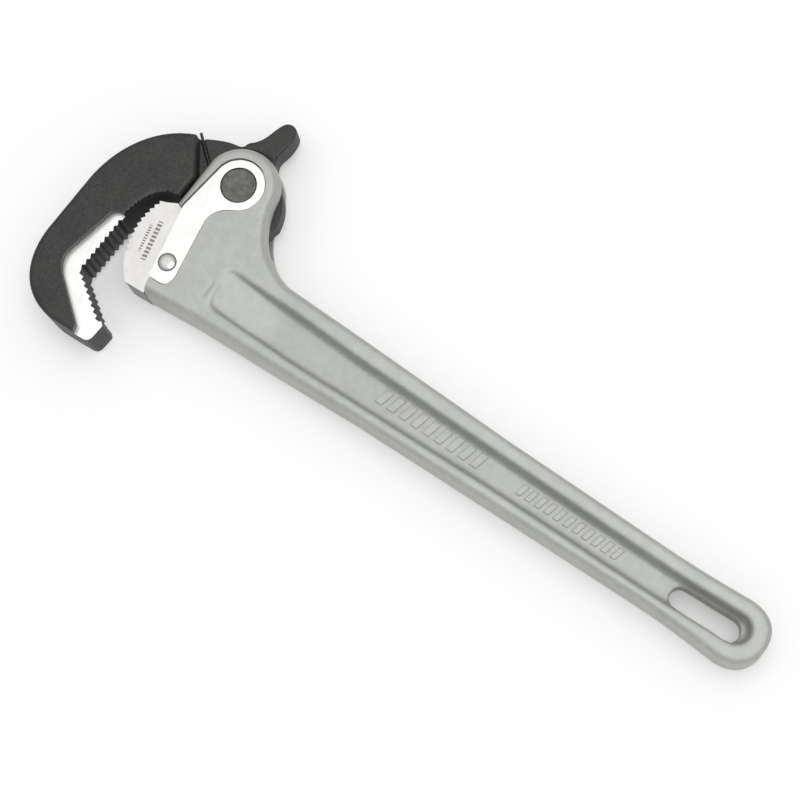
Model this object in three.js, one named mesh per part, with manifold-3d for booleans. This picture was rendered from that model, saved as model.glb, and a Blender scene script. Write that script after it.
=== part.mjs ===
// A 14-inch one-hand pipe wrench with a sprung swinging hook jaw, lying on its side.
// Millimetres. +Z is up. The origin is on the pivot pin's axis, in the plane the wrench lies on.
// +X runs along the handle towards the hang slot, and the jaws are at -X.
import * as THREE from "three";
import { mergeVertices } from "three/addons/utils/BufferGeometryUtils.js";
import Module from "manifold-3d";

const wasm = await Module();
wasm.setup();

// ---- Driving dimensions ----
const clearance = 0.3; // running gap between pieces that touch on the real tool

// Casting
const castingHalf = 13.3; // half the handle's thickness
const gripAxisY = -42.6; // the grip's centre line, below the pivot
const gripEndX = 300;
const earRadius = 18.3;
const rimInset = 3.6; // how far the cast edge rounds in from the widest outline
const rimDrop = 6.4; // how far down the side that rounding reaches
const webHalf = 4.5; // half the web left between the two grip pockets
const pocketInset = 2.2; // run of the pocket's drafted wall
const pocketFillet = 6.2; // depth of the rounded part of that wall
const hangSlotStartX = gripEndX - 45;
const hangSlotEndX = gripEndX - 11.8;
const hangSlotStartRadius = 4.5;
const hangSlotEndRadius = 5.3; // the slot widens towards the end of the grip
const hangSlotY = gripAxisY - 1.4;

// Pivot
const pinRadius = 7.95;
const pinProud = 0.1; // the pin's ends above the plates
const pinChamfer = 0.5;

// Hook jaw
const hubHalf = 5.5; // half the thickness of hub, neck and thumb tab
const hubRadius = 17.4;
const lobeRadius = 23.6; // the bulge of the hub that shows behind the ears
const bodyHalf = castingHalf; // the forged hook is as thick as the handle
const bodyRound = 1.8;
const millDepth = 3.6; // how far the toothed band is milled below the forged face
const springPocketRadius = 12.4;

// Teeth, on both jaws
const toothDepth = 1.25;
const toothLean = 0.34; // where in its pitch a tooth's root lies

// Heel jaw
const heelHalf = 9.5;
const heelCentre = [6.3, -37.2]; // centre of the toothed arc
const heelRadius = 35;
const heelTeeth = 10;

// Side plates and their rivet
const plateThickness = 2.4;
const plateBossRadius = 11.8;
const plateGap = 0.6; // the shadow gap round a plate in its recess
const rivetCentre = [-5.5, -46.2];
const rivetShankRadius = 3;
const rivetHeadRadius = 4.2;
const rivetHeadHeight = 1.0;

// Torsion spring
const wireRadius = 0.7;
const coilRadius = 10.8;
const coilTurns = 2.5;
const coilPitch = 1.6;
const springLegEnd = [-31.7, 12.2];

// ---- Sizes that follow ----
const slotHalf = hubHalf + clearance + 0.1;
const plateInner = heelHalf + clearance;
const plateOuter = plateInner + plateThickness;
const recessFloor = plateInner - clearance;
const boreRadius = pinRadius + clearance;
const slotFloorRadius = lobeRadius + 1.6;
const through = castingHalf + 5; // half height of a cutter that passes right through
const coilTop = hubHalf - clearance - wireRadius; // the wire's centre line in the top turn
const coilBottom = coilTop - coilTurns * coilPitch;
const springPocketFloor = coilBottom - wireRadius - clearance;

// ---- Helpers ----
const deg = (angle) => (angle * Math.PI) / 180;

const polar = (radius, angle, centre = [0, 0]) => [
  centre[0] + radius * Math.cos(deg(angle)),
  centre[1] + radius * Math.sin(deg(angle)),
];

function solid(geometry) {
  const bare = geometry.clone();
  bare.deleteAttribute("normal");
  bare.deleteAttribute("uv");
  const merged = mergeVertices(bare, 1e-4);
  const mesh = new wasm.Mesh({
    numProp: 3,
    vertProperties: merged.attributes.position.array,
    triVerts: new Uint32Array(merged.index.array),
  });
  return new wasm.Manifold(mesh);
}

// An outline as a plain ring of points, without the doubled points where an arc meets its neighbour.
function ringOf(shape, curveSegments) {
  const sameSpot = 0.02;
  const points = shape.getPoints(curveSegments);
  const ring = points.filter((p, i) => i === 0 || p.distanceTo(points[i - 1]) > sameSpot);
  if (ring[0].distanceTo(ring[ring.length - 1]) < sameSpot) {
    ring.pop();
  }
  return new THREE.Shape(ring);
}

// A straight-sided block on an outline.
function block(shape, bottom, top, curveSegments = 16) {
  const geometry = new THREE.ExtrudeGeometry(ringOf(shape, curveSegments), {
    depth: top - bottom,
    bevelEnabled: false,
  });
  geometry.translate(0, 0, bottom);
  return solid(geometry);
}

// A block whose outline rounds in by `inset` over the last `drop` of its height, at both faces.
function pillow(shape, bottom, top, inset, drop, steps, curveSegments = 16) {
  const geometry = new THREE.ExtrudeGeometry(ringOf(shape, curveSegments), {
    depth: top - bottom - 2 * drop,
    bevelEnabled: true,
    bevelThickness: drop,
    bevelSize: inset,
    bevelOffset: -inset,
    bevelSegments: steps,
  });
  geometry.translate(0, 0, bottom + drop);
  return solid(geometry);
}

function disc(radius, bottom, top, centre = [0, 0], curveSegments = 24) {
  const shape = new THREE.Shape();
  shape.absarc(centre[0], centre[1], radius, 0, 2 * Math.PI, false);
  return block(shape, bottom, top, curveSegments);
}

function polygon(points) {
  return new THREE.Shape(points.map(([x, y]) => new THREE.Vector2(x, y)));
}

// The same open path moved sideways to its left by a distance.
function offsetPath(points, distance) {
  const moved = [];
  for (let i = 0; i < points.length - 1; i++) {
    const [ax, ay] = points[i];
    const [bx, by] = points[i + 1];
    const length = Math.hypot(bx - ax, by - ay);
    const nx = (-(by - ay) / length) * distance;
    const ny = ((bx - ax) / length) * distance;
    moved.push([ax + nx, ay + ny, bx + nx, by + ny]);
  }
  const path = [[moved[0][0], moved[0][1]]];
  for (let i = 0; i < moved.length - 1; i++) {
    const [ax, ay, bx, by] = moved[i];
    const [cx, cy, dx, dy] = moved[i + 1];
    const cross = (bx - ax) * (dy - cy) - (by - ay) * (dx - cx);
    const t = ((cx - ax) * (dy - cy) - (cy - ay) * (dx - cx)) / cross;
    path.push([ax + (bx - ax) * t, ay + (by - ay) * t]);
  }
  const last = moved[moved.length - 1];
  path.push([last[2], last[3]]);
  return path;
}

// Saw teeth along a straight line: crests on the line, roots to its right.
function toothRow(from, to, count) {
  const dx = to[0] - from[0];
  const dy = to[1] - from[1];
  const length = Math.hypot(dx, dy);
  const points = [];
  for (let i = 0; i < count; i++) {
    const crest = i / count;
    const root = (i + toothLean) / count;
    points.push([from[0] + dx * crest, from[1] + dy * crest]);
    points.push([
      from[0] + dx * root + (dy / length) * toothDepth,
      from[1] + dy * root - (dx / length) * toothDepth,
    ]);
  }
  points.push(to);
  return points;
}

// Both faces of the wrench are alike, so a cut made above is repeated below.
function bothSides(cutter) {
  return cutter.add(cutter.mirror([0, 0, 1]));
}

// ---- Heel jaw ----
// The block seats against the casting along this line, from its top corner round to its toe.
const heelSeat = [
  [-22.9, -23.4],
  [-18.8, -21.2],
  [-15.0, -22.4],
  [-5.2, -28.5],
  [-0.9, -50.5],
  [-8.4, -55.4],
  [-6.9, -62.9],
];
const heelTopAngle = 159;
const heelSmoothAngle = 206; // the teeth end here and a smooth nose goes on
const heelToeAngle = 228.5;

function heelOutline() {
  const points = [];
  for (let i = 0; i < heelTeeth; i++) {
    const pitch = (heelSmoothAngle - heelTopAngle) / heelTeeth;
    const crest = heelTopAngle + pitch * i;
    points.push(polar(heelRadius, crest, heelCentre));
    points.push(polar(heelRadius - toothDepth, crest + pitch * toothLean, heelCentre));
  }
  const noseSteps = 5;
  for (let i = 0; i <= noseSteps; i++) {
    const angle = heelSmoothAngle + ((heelToeAngle - heelSmoothAngle) * i) / noseSteps;
    points.push(polar(heelRadius, angle, heelCentre));
  }
  for (let i = heelSeat.length - 1; i >= 0; i--) {
    points.push(heelSeat[i]);
  }
  return polygon(points);
}

const heelJaw = block(heelOutline(), -heelHalf, heelHalf).subtract(
  disc(rivetShankRadius + clearance, -through, through, rivetCentre, 12),
);

// ---- Side plates ----
// A round boss on the pivot pin, and a strap that runs down over the heel jaw to the rivet.
function plateOutline(grow) {
  const r = plateBossRadius + grow;
  const shape = new THREE.Shape();
  shape.moveTo(-15.0 - grow, -20.6);
  shape.absarc(0, 0, r, deg(171), deg(-62), true);
  shape.quadraticCurveTo(-2.6 + grow, -14.0 - grow, -2.9 + grow, -21.5);
  shape.lineTo(0.9 + grow, -46.5);
  shape.quadraticCurveTo(2.6 + grow, -55.6 - grow, -3.4, -55.6 - grow);
  shape.lineTo(-7.4, -55.6 - grow);
  shape.quadraticCurveTo(-9.4 - grow, -55.6 - grow, -9.2 - grow, -53.4);
  shape.lineTo(-14.6 - grow, -23.6);
  shape.quadraticCurveTo(-15.2 - grow, -22.0, -15.0 - grow, -20.6);
  return shape;
}

const plateRound = 0.4;
const plateBlank = pillow(plateOutline(0), plateInner, plateOuter, plateRound, plateRound, 1, 8);
const platePiercings = disc(boreRadius, 0, through).add(
  disc(rivetShankRadius + clearance, 0, through, rivetCentre, 12),
);
const plateTop = plateBlank.subtract(platePiercings);
const plateBottom = plateTop.mirror([0, 0, 1]);

// ---- Handle casting ----
function castingOutline() {
  const shape = new THREE.Shape();
  const bulbX = gripEndX - 13.5;
  const waistX = gripEndX - 54; // where the grip starts to swell towards its end
  const swellX = gripEndX - 35;
  shape.moveTo(-18.8, -21);
  shape.absarc(0, 0, earRadius, deg(166), deg(6), true);
  shape.bezierCurveTo(20.6, -8.5, 27, -21.5, 45.6, -25.4);
  shape.lineTo(100, gripAxisY + 15.4);
  shape.lineTo(165, gripAxisY + 13.5);
  shape.lineTo(waistX, gripAxisY + 12.5);
  shape.quadraticCurveTo(swellX, gripAxisY + 12.4, bulbX - 2, gripAxisY + 13.7);
  shape.bezierCurveTo(gripEndX - 5, gripAxisY + 13.7, gripEndX, gripAxisY + 8, gripEndX, gripAxisY);
  shape.bezierCurveTo(gripEndX, gripAxisY - 8, gripEndX - 5, gripAxisY - 14.2, bulbX - 2, gripAxisY - 14.2);
  shape.quadraticCurveTo(swellX, gripAxisY - 12.4, waistX, gripAxisY - 12.4);
  shape.lineTo(155, gripAxisY - 13.7);
  shape.lineTo(103, gripAxisY - 14.6);
  shape.lineTo(53, gripAxisY - 17);
  shape.lineTo(19, gripAxisY - 18.2);
  shape.lineTo(-19.6, gripAxisY - 21.2);
  shape.lineTo(-19.4, -45);
  return shape;
}

// The long pocket in each face of the grip, which leaves an I section.
function pocketOutline() {
  const shape = new THREE.Shape();
  const endX = gripEndX - 14.6;
  const waistX = gripEndX - 50;
  shape.moveTo(20.2, -37.5);
  shape.quadraticCurveTo(19.6, -33.9, 25, -33.8);
  shape.lineTo(60, -33.4);
  shape.lineTo(165, gripAxisY + 6.9);
  shape.lineTo(waistX, gripAxisY + 6);
  shape.absarc(endX, gripAxisY, 6.5, deg(90), deg(-90), true);
  shape.lineTo(waistX, gripAxisY - 7.1);
  shape.lineTo(165, gripAxisY - 7.6);
  shape.lineTo(66, -53.2);
  shape.lineTo(27.6, -52.6);
  shape.quadraticCurveTo(21.9, -52.5, 21.4, -47.2);
  return shape;
}

function hangSlotOutline() {
  const inner = hangSlotStartRadius;
  const outer = hangSlotEndRadius;
  const shape = new THREE.Shape();
  shape.absarc(hangSlotEndX - outer, hangSlotY, outer, deg(-90), deg(90), false);
  shape.absarc(hangSlotStartX + inner, hangSlotY, inner, deg(90), deg(270), false);
  return shape;
}

// The slot between the ears, open at the top, where the hook jaw's hub swings.
function hubSlotOutline() {
  const shape = new THREE.Shape();
  shape.moveTo(-25, 30);
  shape.lineTo(-25, -21.4);
  shape.absarc(0, 0, slotFloorRadius, deg(235), deg(315), false);
  shape.lineTo(30, -18.6);
  shape.lineTo(36, -8);
  shape.lineTo(30, 30);
  return shape;
}

// Room for the heel jaw: everything on the jaw's side of its seat line.
const [seatStart] = heelSeat;
const heelRoom = polygon([
  ...offsetPath([[seatStart[0] - 9, seatStart[1] - 4.8], ...heelSeat, [-5.4, -70]], clearance),
  [-45, -75],
  [-45, -30],
]);

const pocket = pillow(
  pocketOutline(),
  webHalf,
  castingHalf + 2 * pocketFillet,
  pocketInset,
  pocketFillet,
  3,
  6,
);
// The pocket's floor comes up in a long ramp at the head, instead of a wall.
const rampStartX = 17;
const rampEndX = 44;
const ramp = block(
  polygon([
    [rampStartX - 5, 0],
    [rampEndX, 0],
    [rampEndX, webHalf],
    [rampStartX, castingHalf],
    [rampStartX - 5, castingHalf + 8],
  ]),
  -70,
  -15,
  1,
).rotate([90, 0, 0]);
const rampedPocket = pocket.subtract(ramp.mirror([0, 1, 0]));
const recess = block(plateOutline(plateGap), recessFloor, through, 8);

const handle = pillow(castingOutline(), -castingHalf, castingHalf, rimInset, rimDrop, 4, 11)
  .subtract(bothSides(rampedPocket))
  .subtract(block(hangSlotOutline(), -through, through, 8))
  .subtract(block(hubSlotOutline(), -slotHalf, slotHalf, 12))
  .subtract(block(heelRoom, -through, through))
  .subtract(bothSides(recess))
  .subtract(disc(boreRadius, -through, through));

// ---- Pivot pin ----
function pinSolid() {
  const half = plateOuter + pinProud;
  const profile = [
    new THREE.Vector2(0, -half),
    new THREE.Vector2(pinRadius - pinChamfer, -half),
    new THREE.Vector2(pinRadius, -half + pinChamfer),
    new THREE.Vector2(pinRadius, half - pinChamfer),
    new THREE.Vector2(pinRadius - pinChamfer, half),
    new THREE.Vector2(0, half),
  ];
  const geometry = new THREE.LatheGeometry(profile, 48);
  geometry.rotateX(Math.PI / 2);
  return solid(geometry);
}
// A cross hole takes the tang of the torsion spring.
const tangHole = block(
  polygon([
    [0, -wireRadius - clearance],
    [pinRadius + 2, -wireRadius - clearance],
    [pinRadius + 2, wireRadius + clearance],
    [0, wireRadius + clearance],
  ]),
  coilBottom - wireRadius - clearance,
  coilBottom + wireRadius + clearance,
);

// ---- Hook jaw ----
const toothTop = [-35.2, -41.2];
const toothVertex = [-36.7, -70.0];
const toothTip = [-15.4, -84.6];
const shoulderTop = [-29.9, 9.3];
const shoulderFoot = [-18.7, -7.2];

function forgedOutline() {
  const shape = new THREE.Shape();
  shape.moveTo(...shoulderFoot);
  shape.lineTo(...shoulderTop);
  shape.bezierCurveTo(-45.5, 3, -56.8, -12.5, -58.6, -33);
  shape.lineTo(-60, -61);
  shape.bezierCurveTo(-60.9, -73, -56.9, -93.2, -34, -95.4);
  shape.lineTo(-17, -94.8);
  shape.quadraticCurveTo(-14, -94.6, -13.7, -91.6);
  shape.lineTo(-12.8, -83);
  shape.lineTo(-33.2, -68);
  shape.lineTo(-33.4, -43);
  shape.lineTo(toothTop[0], toothTop[1]);
  shape.bezierCurveTo(-33.8, -31, -30, -18.2, -19.2, -18.7);
  return shape;
}

// The space the pipe sits in: its wall is the two rows of teeth.
const mouth = polygon([
  ...toothRow(toothTop, toothVertex, 9),
  ...toothRow(toothVertex, toothTip, 8).slice(1),
  [-9, -89],
  [0, -80],
  [0, toothTop[1]],
]);

// The toothed band is milled narrower than the forging, up to a round cutter run-out.
function millOutline() {
  const shape = new THREE.Shape();
  shape.moveTo(-22, -38);
  shape.lineTo(-35.4, -39.2);
  shape.bezierCurveTo(-38, -38.4, -40.7, -40.4, -40.9, -43.4);
  shape.lineTo(-45.8, -64.5);
  shape.bezierCurveTo(-46.8, -69.5, -45.4, -73, -41.7, -76.2);
  shape.lineTo(-22.5, -91.5);
  shape.lineTo(-20, -100);
  shape.lineTo(0, -100);
  shape.lineTo(0, -40);
  return shape;
}

// Hub, neck and thumb tab are one thinner plate that passes between the ears.
function hubOutline() {
  const shape = new THREE.Shape();
  const bodyOverlap = 6;
  shape.moveTo(shoulderFoot[0] - bodyOverlap, shoulderFoot[1]);
  shape.lineTo(shoulderTop[0] - bodyOverlap, shoulderTop[1] - 2);
  shape.lineTo(shoulderTop[0] - 0.8, shoulderTop[1] + 0.3);
  shape.quadraticCurveTo(-20, 16.2, -13.2, 16.6);
  shape.quadraticCurveTo(-10.8, 17.4, -10.2, 20);
  shape.bezierCurveTo(-7.6, 21.8, -5.4, 25, -4.4, 29);
  shape.bezierCurveTo(-3.6, 31.6, -3, 34, -1.8, 35.8);
  shape.bezierCurveTo(-0.4, 38.2, 3.8, 38.4, 5.2, 35.6);
  shape.bezierCurveTo(6.6, 32, 6, 27.4, 4.8, 23.2);
  shape.quadraticCurveTo(4.2, 19.8, ...polar(hubRadius, 64));
  shape.absarc(0, 0, hubRadius, deg(64), deg(36), true);
  shape.quadraticCurveTo(...polar(lobeRadius - 1.6, 15), ...polar(lobeRadius, -12));
  shape.absarc(0, 0, lobeRadius, deg(-12), deg(-28), true);
  shape.quadraticCurveTo(...polar(lobeRadius - 0.8, -40), ...polar(hubRadius, -54));
  shape.absarc(0, 0, hubRadius, deg(-54), deg(-125), true);
  shape.lineTo(-19.2, -17.4);
  return shape;
}

// A groove in the neck lets the spring's leg out of the hub.
const legAngle =
  Math.atan2(-springLegEnd[1], -springLegEnd[0]) -
  Math.asin(coilRadius / Math.hypot(...springLegEnd));
const legDirection = [Math.cos(legAngle), Math.sin(legAngle)];
const legLength = Math.sqrt(Math.hypot(...springLegEnd) ** 2 - coilRadius ** 2);
const legRoot = [
  springLegEnd[0] + legDirection[0] * legLength,
  springLegEnd[1] + legDirection[1] * legLength,
];
const grooveHalf = wireRadius + clearance + 0.1;
const legSide = [-legDirection[1] * grooveHalf, legDirection[0] * grooveHalf];
const legGroove = block(
  polygon([
    [springLegEnd[0] - legSide[0], springLegEnd[1] - legSide[1]],
    [legRoot[0] - legSide[0], legRoot[1] - legSide[1]],
    [legRoot[0] + legSide[0], legRoot[1] + legSide[1]],
    [springLegEnd[0] + legSide[0], springLegEnd[1] + legSide[1]],
  ]),
  coilTop - wireRadius - clearance,
  hubHalf + 4,
);

const milled = block(millOutline(), bodyHalf - millDepth, through, 7);
const hookJaw = pillow(forgedOutline(), -bodyHalf, bodyHalf, bodyRound, bodyRound, 2, 10)
  .subtract(block(mouth, -through, through))
  .subtract(bothSides(milled))
  .add(pillow(hubOutline(), -hubHalf, hubHalf, 0.5, 0.5, 1, 7))
  .subtract(disc(boreRadius, -through, through))
  .subtract(disc(springPocketRadius, springPocketFloor, through))
  .subtract(legGroove);

// ---- Torsion spring ----
// Tang in the pin's cross hole, coil round the pin, then a straight leg out to the hook's shoulder.
function springPath() {
  const points = [];
  const legTurn = Math.atan2(legRoot[1], legRoot[0]);
  const stepsPerTurn = 20;
  const steps = Math.round(coilTurns * stepsPerTurn);
  const startTurn = legTurn + coilTurns * 2 * Math.PI;
  const tangIn = pinRadius - 1.5;
  points.push(new THREE.Vector3(tangIn * Math.cos(startTurn), tangIn * Math.sin(startTurn), coilBottom));
  for (let i = 0; i <= steps; i++) {
    const part = i / steps;
    const turn = startTurn - part * coilTurns * 2 * Math.PI;
    points.push(
      new THREE.Vector3(
        coilRadius * Math.cos(turn),
        coilRadius * Math.sin(turn),
        coilBottom + part * coilTurns * coilPitch,
      ),
    );
  }
  points.push(new THREE.Vector3(springLegEnd[0], springLegEnd[1], coilTop));
  return points;
}

// A round wire swept along a path of points, with each ring square to the path.
function wire(points, radius, sides) {
  const rings = [];
  let side = new THREE.Vector3(0, 0, 1);
  for (let i = 0; i < points.length; i++) {
    const before = points[Math.max(i - 1, 0)];
    const after = points[Math.min(i + 1, points.length - 1)];
    const along = after.clone().sub(before).normalize();
    side = side.clone().sub(along.clone().multiplyScalar(side.dot(along))).normalize();
    const other = new THREE.Vector3().crossVectors(along, side);
    const ring = [];
    for (let k = 0; k < sides; k++) {
      const a = (2 * Math.PI * k) / sides;
      ring.push(
        points[i]
          .clone()
          .addScaledVector(side, radius * Math.cos(a))
          .addScaledVector(other, radius * Math.sin(a)),
      );
    }
    rings.push(ring);
  }
  const triangles = [];
  for (let i = 0; i < rings.length - 1; i++) {
    for (let k = 0; k < sides; k++) {
      const n = (k + 1) % sides;
      triangles.push(rings[i][k], rings[i][n], rings[i + 1][n]);
      triangles.push(rings[i][k], rings[i + 1][n], rings[i + 1][k]);
    }
  }
  const first = points[0];
  const last = points[points.length - 1];
  for (let k = 0; k < sides; k++) {
    const n = (k + 1) % sides;
    triangles.push(first, rings[0][n], rings[0][k]);
    triangles.push(last, rings[rings.length - 1][k], rings[rings.length - 1][n]);
  }
  return solid(new THREE.BufferGeometry().setFromPoints(triangles));
}

const springSolid = wire(springPath(), wireRadius, 8);
const tangTurn = Math.atan2(legRoot[1], legRoot[0]) + coilTurns * 2 * Math.PI;
const pivotPin = pinSolid().subtract(tangHole.rotate([0, 0, (tangTurn * 180) / Math.PI]));

// ---- Heel rivet ----
function rivetSolid() {
  const headBase = plateOuter + clearance / 2;
  const headSteps = 4;
  const lower = [];
  const upper = [];
  for (let i = 0; i <= headSteps; i++) {
    const a = (Math.PI / 2) * (i / headSteps);
    const radius = rivetHeadRadius * Math.sin(a);
    const height = headBase + rivetHeadHeight * Math.cos(a);
    lower.push(new THREE.Vector2(radius, -height));
    upper.unshift(new THREE.Vector2(radius, height));
  }
  const profile = [
    ...lower,
    new THREE.Vector2(rivetShankRadius, -headBase),
    new THREE.Vector2(rivetShankRadius, headBase),
    ...upper,
  ];
  const geometry = new THREE.LatheGeometry(profile, 28);
  geometry.rotateX(Math.PI / 2);
  geometry.translate(rivetCentre[0], rivetCentre[1], 0);
  return solid(geometry);
}

// ---- The assembly ----
const finishes = {
  castAluminium: { color: 0xb4b7b0, roughness: 0.6, metalness: 0.7 },
  blackedSteel: { color: 0x3c3c3a, roughness: 0.7, metalness: 0.5 },
  groundSteel: { color: 0xdcd9d2, roughness: 0.35, metalness: 0.9 },
  plateSteel: { color: 0xf0f0ec, roughness: 0.3, metalness: 0.9 },
  pinSteel: { color: 0x5f5f5d, roughness: 0.5, metalness: 0.8 },
  springSteel: { color: 0x4a4b4d, roughness: 0.4, metalness: 0.9 },
};

const wrench = new THREE.Group();
wrench.name = "pipe_wrench";

function addPiece(name, piece, finish) {
  const raised = piece.translate([0, 0, castingHalf]);
  const { vertProperties, triVerts, numProp } = raised.getMesh();
  const geometry = new THREE.BufferGeometry();
  const positions = new Float32Array((vertProperties.length / numProp) * 3);
  for (let i = 0; i < positions.length / 3; i++) {
    positions[3 * i] = vertProperties[numProp * i];
    positions[3 * i + 1] = vertProperties[numProp * i + 1];
    positions[3 * i + 2] = vertProperties[numProp * i + 2];
  }
  geometry.setAttribute("position", new THREE.BufferAttribute(positions, 3));
  geometry.setIndex(new THREE.BufferAttribute(new Uint32Array(triVerts), 1));
  geometry.computeVertexNormals();
  const mesh = new THREE.Mesh(geometry, new THREE.MeshStandardMaterial(finishes[finish]));
  mesh.name = name;
  wrench.add(mesh);
}

addPiece("handle", handle, "castAluminium");
addPiece("heel_jaw", heelJaw, "groundSteel");
addPiece("side_plate_top", plateTop, "plateSteel");
addPiece("side_plate_bottom", plateBottom, "plateSteel");
addPiece("pivot_pin", pivotPin, "pinSteel");
addPiece("heel_rivet", rivetSolid(), "groundSteel");
addPiece("hook_jaw", hookJaw, "blackedSteel");
addPiece("torsion_spring", springSolid, "springSteel");

export default wrench;
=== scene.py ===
# %% [markdown]
# # A one-hand pipe wrench
# This notebook dresses a pipe wrench whose mechanism is already modelled in CAD. The casting, the
# forged hook jaw, the toothed heel jaw, two side plates, pin, rivet and spring each get their own
# mesh and their own finish. The lesson goes piece by piece: first the shape, as the workshop makes
# it, then its material.
#
# Shapes are drawn in millimetres about the wrench's middle plane, because that is how a pattern
# maker thinks, and every finished mesh is turned into metres and lifted onto the bench at the end.

# %% Load the CAD frame
import math
import bmesh
import bpy
import numpy as np
from mathutils import Matrix, Vector


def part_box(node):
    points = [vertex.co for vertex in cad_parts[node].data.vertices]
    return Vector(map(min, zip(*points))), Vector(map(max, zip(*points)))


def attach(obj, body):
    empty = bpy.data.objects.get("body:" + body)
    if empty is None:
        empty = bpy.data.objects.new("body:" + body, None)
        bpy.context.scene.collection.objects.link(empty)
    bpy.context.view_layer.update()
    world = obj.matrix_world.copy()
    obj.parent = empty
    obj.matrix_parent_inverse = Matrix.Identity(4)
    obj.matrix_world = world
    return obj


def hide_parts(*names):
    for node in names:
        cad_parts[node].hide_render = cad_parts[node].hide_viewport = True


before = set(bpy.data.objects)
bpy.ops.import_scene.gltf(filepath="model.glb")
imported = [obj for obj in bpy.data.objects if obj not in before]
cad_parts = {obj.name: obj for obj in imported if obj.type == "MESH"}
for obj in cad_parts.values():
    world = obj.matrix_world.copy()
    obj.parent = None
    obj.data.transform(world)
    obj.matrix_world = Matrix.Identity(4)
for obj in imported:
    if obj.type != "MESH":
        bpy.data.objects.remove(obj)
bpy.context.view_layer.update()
MM = 0.001

# %% [markdown]
# ## Measuring the frame
# The sizes that matter come from the CAD nodes themselves, so a piece always fits its neighbour.
# The casting's box gives the thickness, the pin's box gives the bore, the plate's box gives the
# level of the recess.

# %% Sizes read from the CAD pieces
def size_of(node):
    """Lowest and highest corner of a CAD node in millimetres."""
    low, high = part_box(node)
    return Vector(low) / MM, Vector(high) / MM


casting_low, casting_high = size_of("handle")
CAST_HALF = (casting_high.z - casting_low.z) / 2
GRIP_END = casting_high.x
pin_low, pin_high = size_of("pivot_pin")
PIN_RADIUS = (pin_high.y - pin_low.y) / 2
PIN_HALF = (pin_high.z - pin_low.z) / 2
plate_low, plate_high = size_of("side_plate_top")
PLATE_TOP = plate_high.z - CAST_HALF
PLATE_BASE = plate_low.z - CAST_HALF
heel_low, heel_high = size_of("heel_jaw")
HEEL_HALF = (heel_high.z - heel_low.z) / 2
rivet_low, rivet_high = size_of("heel_rivet")
RIVET_CENTRE = ((rivet_low.x + rivet_high.x) / 2, (rivet_low.y + rivet_high.y) / 2)
RIVET_RADIUS = (rivet_high.x - rivet_low.x) / 2
RIVET_TOP = rivet_high.z - CAST_HALF
CLEARANCE = 0.3
RIVET_SHANK = 3.0
RIVET_HOLE = RIVET_SHANK + CLEARANCE
print("half thickness", round(CAST_HALF, 2), "pin", round(PIN_RADIUS, 2), "rivet at", RIVET_CENTRE)

# %% [markdown]
# ## Drawing outlines
# A drop-forged or cast piece starts as an outline on the pattern maker's board: straight runs,
# arcs and easy curves. `Outline` is that pencil. It collects points and can hand them back evenly
# spaced, which keeps the faces square when the outline becomes a wall.

# %% The outline pencil
class Outline:
    def __init__(self, x, y):
        self.points = [(x, y)]

    def line(self, *corners):
        self.points += corners
        return self

    def quad(self, control, end, steps=8):
        return self.curve(control, control, end, steps, quadratic=True)

    def curve(self, first, second, end, steps=14, quadratic=False):
        start = self.points[-1]
        for i in range(1, steps + 1):
            t = i / steps
            s = 1 - t
            if quadratic:
                weights = ((s * s, start), (2 * s * t, first), (t * t, end))
            else:
                weights = ((s**3, start), (3 * s * s * t, first), (3 * s * t * t, second), (t**3, end))
            self.points.append(tuple(sum(w * p[k] for w, p in weights) for k in (0, 1)))
        return self

    def arc(self, centre, radius, start, end, steps=24):
        self.points += arc_points(centre, radius, start, end, steps)
        return self


def on_circle(radius, degrees, centre=(0, 0)):
    a = math.radians(degrees)
    return centre[0] + radius * math.cos(a), centre[1] + radius * math.sin(a)


def arc_points(centre, radius, start, end, steps):
    return [on_circle(radius, start + (end - start) * i / steps, centre) for i in range(steps + 1)]


def circle(radius, centre, sides):
    return arc_points(centre, radius, 0, 360, sides)[:-1]


def ring_of(points):
    """The same closed outline without its doubled points."""
    return [p for i, p in enumerate(points) if (Vector(p) - Vector(points[i - 1])).length > 0.02]


def spaced(points, spacing, corner=25):
    """The closed outline again with even spacing between its corners, which stay where they are."""
    ring = [Vector(p) for p in ring_of(points)]
    count = len(ring)

    def turn(i):
        a, b = ring[i] - ring[i - 1], ring[(i + 1) % count] - ring[i]
        return math.degrees(a.angle(b))

    corners = [i for i in range(count) if turn(i) > corner] or [0]
    out = []
    for n, begin in enumerate(corners):
        end = corners[(n + 1) % len(corners)]
        stretch = [ring[k % count] for k in range(begin, (end if end > begin else end + count) + 1)]
        lengths = np.cumsum([0] + [(b - a).length for a, b in zip(stretch, stretch[1:])])
        pieces = max(1, round(lengths[-1] / spacing))
        for d in np.linspace(0, lengths[-1], pieces, endpoint=False):
            out.append(tuple(np.interp(d, lengths, [p[k] for p in stretch]) for k in (0, 1)))
    return out


def grown(points, amount):
    """The closed outline moved outwards by `amount`; a negative amount moves it inwards."""
    p = np.array(points)
    nxt, prev = np.roll(p, -1, 0), np.roll(p, 1, 0)
    area = np.sum(p[:, 0] * nxt[:, 1] - nxt[:, 0] * p[:, 1]) / 2
    side = 1 if area > 0 else -1

    def normal(a, b):
        d = b - a
        d /= np.linalg.norm(d, axis=1)[:, None]
        return np.stack([d[:, 1], -d[:, 0]], 1) * side

    n0, n1 = normal(prev, p), normal(p, nxt)
    bisector = n0 + n1
    bisector /= np.linalg.norm(bisector, axis=1)[:, None]
    miter = np.clip((bisector * n0).sum(1), 0.5, 1)
    return [tuple(q) for q in p + bisector * (amount / miter)[:, None]]


print("outline pencil ready")

# %% [markdown]
# ## From outline to block
# `block` is a slab with straight walls, used for cutters and for plates. `pillow` is the same slab
# with its edges rolled over a quarter circle, the soft shoulder that a sand mould or a forging
# die leaves. Both are lofts of rings, which bmesh bridges with quads.

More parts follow.
